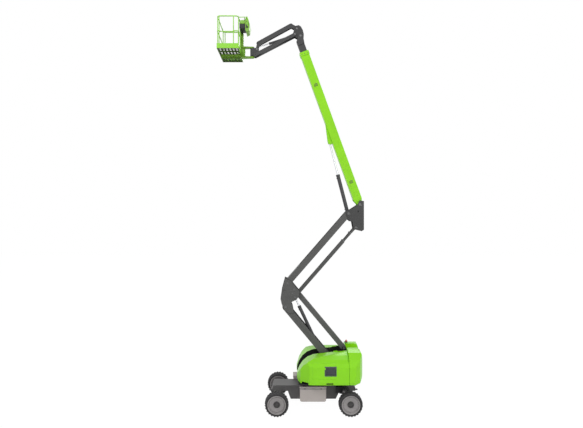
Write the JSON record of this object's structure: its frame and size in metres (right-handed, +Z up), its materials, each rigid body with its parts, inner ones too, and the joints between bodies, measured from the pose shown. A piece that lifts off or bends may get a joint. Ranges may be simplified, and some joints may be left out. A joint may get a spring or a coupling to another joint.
{
  "type": "articulating boom lift",
  "caption": "Self-propelled articulating boom lift with a folding tower, telescoping main boom, cranked jib and railed work platform on a wheeled chassis with a slewing turntable.",
  "frame": {"origin": "on the ground under the middle of the machine's outline", "axes": "+Z up; travels towards -X, the platform at -X; -Y is the left side"},
  "size_m": [5.147, 2.25, 13.713],
  "materials": {
    "box_pale": "satin",
    "beacon_amber": "gloss",
    "chassis_grey": "satin",
    "boom_green": "gloss",
    "machinery_dark": "satin",
    "hood_green": "gloss",
    "arm_grey": "satin",
    "fly_grey": "satin",
    "cylinder_black": "satin",
    "rod_chrome": "polished",
    "bracket_green": "satin",
    "rim_grey": "satin",
    "tyre_rubber": "matte",
    "vent_dark": "matte"
  },
  "bodies": {
    "chassis": {"chassis_frame": "chassis_grey", "slew_ring": "chassis_grey", "battery_box_left": "box_pale", "battery_box_right": "box_pale", "front_axle": "chassis_grey", "rear_axle": "chassis_grey"},
    "steer_left": {"steer_knuckle_left": "chassis_grey"},
    "steer_right": {"steer_knuckle_right": "chassis_grey"},
    "tie_rod": {"tie_rod": "chassis_grey"},
    "turntable": {"turntable_deck": "chassis_grey", "tower_base": "chassis_grey", "power_pack_left": "machinery_dark", "power_pack_right": "machinery_dark", "counterweight": "hood_green", "beacon": "beacon_amber", "trough_wall_left": "chassis_grey", "trough_wall_right": "chassis_grey"},
    "hood_left": {"hood_left": "hood_green", "vent_left": "vent_dark"},
    "hood_right": {"hood_right": "hood_green", "vent_right": "vent_dark"},
    "platform": {"platform_floor": "arm_grey", "toe_boards": "boom_green", "guard_rails": "arm_grey", "platform_support": "bracket_green", "control_console": "machinery_dark", "console_shield": "boom_green"},
    "wheel_front_left": {"tyre_front_left": "tyre_rubber", "rim_front_left": "rim_grey"},
    "wheel_front_right": {"tyre_front_right": "tyre_rubber", "rim_front_right": "rim_grey"},
    "wheel_rear_left": {"tyre_rear_left": "tyre_rubber", "rim_rear_left": "rim_grey"},
    "wheel_rear_right": {"tyre_rear_right": "tyre_rubber", "rim_rear_right": "rim_grey"},
    "lower_arm": {"lower_arm": "arm_grey"},
    "lower_link": {"lower_link": "arm_grey"},
    "tower_knuckle": {"tower_knuckle": "arm_grey"},
    "upper_arm": {"upper_arm": "arm_grey"},
    "upper_link": {"upper_link": "arm_grey"},
    "upright": {"upright": "arm_grey"},
    "tower_cylinder": {"tower_cylinder": "cylinder_black"},
    "tower_rod": {"tower_rod": "rod_chrome"},
    "lift_cylinder": {"lift_cylinder": "cylinder_black"},
    "lift_rod": {"lift_rod": "rod_chrome"},
    "main_boom": {"main_boom": "boom_green"},
    "fly_boom": {"fly_boom": "fly_grey"},
    "jib_bracket": {"jib_bracket": "arm_grey"},
    "jib_arm": {"jib_arm": "arm_grey"},
    "jib_link": {"jib_link": "arm_grey"},
    "jib_cylinder": {"jib_cylinder": "cylinder_black"},
    "jib_rod": {"jib_rod": "rod_chrome"},
    "platform_rotator": {"platform_rotator": "arm_grey"},
    "entry_bar": {"entry_bar": "arm_grey"}
  },
  "joints": [
    {"name": "turntable_swing", "type": "hinge", "parent": "chassis", "child": "turntable", "pos_m": [0.94, 0, 0.95], "axis": [0, 0, 1], "range_deg": [-177.5, 177.5]},
    {"name": "steer_left", "type": "hinge", "parent": "chassis", "child": "steer_left", "pos_m": [-0.5, -0.755, 0.405], "axis": [0, 0, 1], "range_deg": [-35, 35]},
    {"name": "steer_right", "type": "hinge", "parent": "chassis", "child": "steer_right", "pos_m": [-0.5, 0.755, 0.405], "axis": [0, 0, 1], "range_deg": [-35, 35]},
    {"name": "tie_rod_slide", "type": "slide", "parent": "chassis", "child": "tie_rod", "axis": [0, 1, 0], "range_m": [-0.115, 0.115]},
    {"name": "spin_front_left", "type": "hinge", "parent": "steer_left", "child": "wheel_front_left", "pos_m": [-0.5, -0.975, 0.405], "axis": [0, 1, 0], "continuous": true},
    {"name": "spin_front_right", "type": "hinge", "parent": "steer_right", "child": "wheel_front_right", "pos_m": [-0.5, 0.975, 0.405], "axis": [0, 1, 0], "continuous": true},
    {"name": "spin_rear_left", "type": "hinge", "parent": "chassis", "child": "wheel_rear_left", "pos_m": [2, -0.975, 0.405], "axis": [0, 1, 0], "continuous": true},
    {"name": "spin_rear_right", "type": "hinge", "parent": "chassis", "child": "wheel_rear_right", "pos_m": [2, 0.975, 0.405], "axis": [0, 1, 0], "continuous": true},
    {"name": "hood_left_open", "type": "hinge", "parent": "turntable", "child": "hood_left", "pos_m": [1.506, -0.3, 1.9895], "axis": [-0.9948, 0, -0.1015], "range_deg": [0, 55]},
    {"name": "hood_right_open", "type": "hinge", "parent": "turntable", "child": "hood_right", "pos_m": [1.506, 0.3, 1.9895], "axis": [0.9948, 0, 0.1015], "range_deg": [0, 55]},
    {"name": "tower_raise", "type": "hinge", "parent": "turntable", "child": "lower_arm", "pos_m": [1.568, 0, 1.406], "axis": [0, 1, 0], "range_deg": [-48, 8]},
    {"name": "lower_link_swing", "type": "hinge", "parent": "turntable", "child": "lower_link", "pos_m": [1.874, 0, 2.034], "axis": [0, 1, 0], "range_deg": [-48.5, 8.5]},
    {"name": "knuckle_level", "type": "hinge", "parent": "lower_arm", "child": "tower_knuckle", "pos_m": [-0.212, 0, 3.534], "axis": [0, 1, 0], "range_deg": [-8.5, 48.5]},
    {"name": "upper_arm_swing", "type": "hinge", "parent": "tower_knuckle", "child": "upper_arm", "pos_m": [-0.14, 0, 4.378], "axis": [0, 1, 0], "range_deg": [-8.5, 48.5]},
    {"name": "upper_link_swing", "type": "hinge", "parent": "tower_knuckle", "child": "upper_link", "pos_m": [0.12, 0, 3.883], "axis": [0, 1, 0], "range_deg": [-8.5, 48.5]},
    {"name": "upright_level", "type": "hinge", "parent": "upper_arm", "child": "upright", "pos_m": [2.024, 0, 6.862], "axis": [0, 1, 0], "range_deg": [-48.5, 8.5]},
    {"name": "tower_cylinder_swing", "type": "hinge", "parent": "lower_arm", "child": "tower_cylinder", "pos_m": [0.806, 0, 2.403], "axis": [0, 1, 0], "range_deg": [-1.33, 5.49]},
    {"name": "tower_rod_slide", "type": "slide", "parent": "tower_cylinder", "child": "tower_rod", "axis": [-0.4269, 0, 0.9043], "range_m": [-0.4229, 0.0788]},
    {"name": "boom_raise", "type": "hinge", "parent": "upright", "child": "main_boom", "pos_m": [2.431, 0, 7.18], "axis": [0, 1, 0], "range_deg": [-70, 5]},
    {"name": "lift_cylinder_swing", "type": "hinge", "parent": "upright", "child": "lift_cylinder", "pos_m": [2.024, 0, 6.862], "axis": [0, 1, 0], "range_deg": [-72.88, 5.67]},
    {"name": "lift_rod_slide", "type": "slide", "parent": "lift_cylinder", "child": "lift_rod", "axis": [-0.2504, 0, 0.9682], "range_m": [-0.6298, 0.0543]},
    {"name": "boom_extend", "type": "slide", "parent": "main_boom", "child": "fly_boom", "axis": [-0.3416, 0, 0.9398], "range_m": [0, 3]},
    {"name": "bracket_level", "type": "hinge", "parent": "fly_boom", "child": "jib_bracket", "pos_m": [0.33, 0, 13.215], "axis": [0, 1, 0], "range_deg": [-5.5, 70.5]},
    {"name": "jib_raise", "type": "hinge", "parent": "jib_bracket", "child": "jib_arm", "pos_m": [0.198, 0, 13.482], "axis": [0, 1, 0], "range_deg": [-37, 97]},
    {"name": "jib_link_swing", "type": "hinge", "parent": "jib_bracket", "child": "jib_link", "pos_m": [0.126, 0, 13.273], "axis": [0, 1, 0], "range_deg": [-37.5, 97.5]},
    {"name": "jib_cylinder_swing", "type": "hinge", "parent": "jib_bracket", "child": "jib_cylinder", "pos_m": [0.126, 0, 13.273], "axis": [0, 1, 0], "range_deg": [-37.85, 98.41]},
    {"name": "jib_rod_slide", "type": "slide", "parent": "jib_cylinder", "child": "jib_rod", "axis": [-0.95, 0, -0.3123], "range_m": [-0.1102, 0.2726]},
    {"name": "rotator_level", "type": "hinge", "parent": "jib_arm", "child": "platform_rotator", "pos_m": [-1.232, 0, 12.742], "axis": [0, 1, 0], "range_deg": [-97.5, 37.5]},
    {"name": "platform_rotate", "type": "hinge", "parent": "platform_rotator", "child": "platform", "pos_m": [-1.4, 0, 12.65], "axis": [0, 0, 1], "range_deg": [-80, 80]},
    {"name": "entry_bar_lift", "type": "hinge", "parent": "platform", "child": "entry_bar", "pos_m": [-1.997, -0.685, 13.146], "axis": [0, 1, 0], "range_deg": [0, 80]}
  ],
  "couplings": [
    {"joint": "steer_right", "follows": "steer_left", "ratio": 1},
    {"joint": "tie_rod_slide", "follows": "steer_left", "m_per_rad": 0.18},
    {"joint": "lower_link_swing", "follows": "tower_raise", "ratio": 1},
    {"joint": "knuckle_level", "follows": "tower_raise", "ratio": -1},
    {"joint": "upper_arm_swing", "follows": "tower_raise", "ratio": -1},
    {"joint": "upper_link_swing", "follows": "tower_raise", "ratio": -1},
    {"joint": "upright_level", "follows": "tower_raise", "ratio": 1},
    {"joint": "tower_cylinder_swing", "follows": "tower_raise", "ratio": -0.1039},
    {"joint": "tower_rod_slide", "follows": "tower_raise", "m_per_rad": 0.49288},
    {"joint": "lift_cylinder_swing", "follows": "boom_raise", "ratio": 1.0341},
    {"joint": "lift_rod_slide", "follows": "boom_raise", "m_per_rad": 0.50729},
    {"joint": "bracket_level", "follows": "boom_raise", "ratio": -1},
    {"joint": "jib_link_swing", "follows": "jib_raise", "ratio": 1},
    {"joint": "jib_cylinder_swing", "follows": "jib_raise", "ratio": 1.0093},
    {"joint": "jib_rod_slide", "follows": "jib_raise", "m_per_rad": 0.15513},
    {"joint": "rotator_level", "follows": "jib_raise", "ratio": -1}
  ]
}
